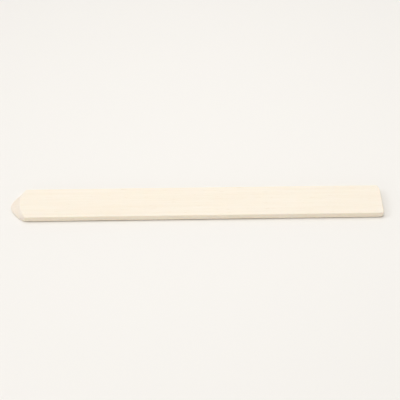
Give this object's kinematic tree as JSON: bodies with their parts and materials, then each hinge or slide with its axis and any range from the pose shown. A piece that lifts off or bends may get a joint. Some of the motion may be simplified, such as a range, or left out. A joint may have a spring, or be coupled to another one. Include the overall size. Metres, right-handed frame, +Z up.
{
  "type": "bone folder",
  "caption": "Straight flat bone folder in cream bone, with a rounded nose bevelled on its upper side and a squared butt, for creasing and burnishing paper.",
  "frame": {"origin": "under the middle of the folder, on the flat underside that it lies on", "axes": "+X along the length from the rounded nose to the squared butt, +Y across the width, +Z up out of the upper face"},
  "size_m": [0.2, 0.0214, 0.0036],
  "materials": {
    "bone": "satin"
  },
  "bodies": {
    "root": {"folder_blade": "bone"}
  },
  "joints": []
}
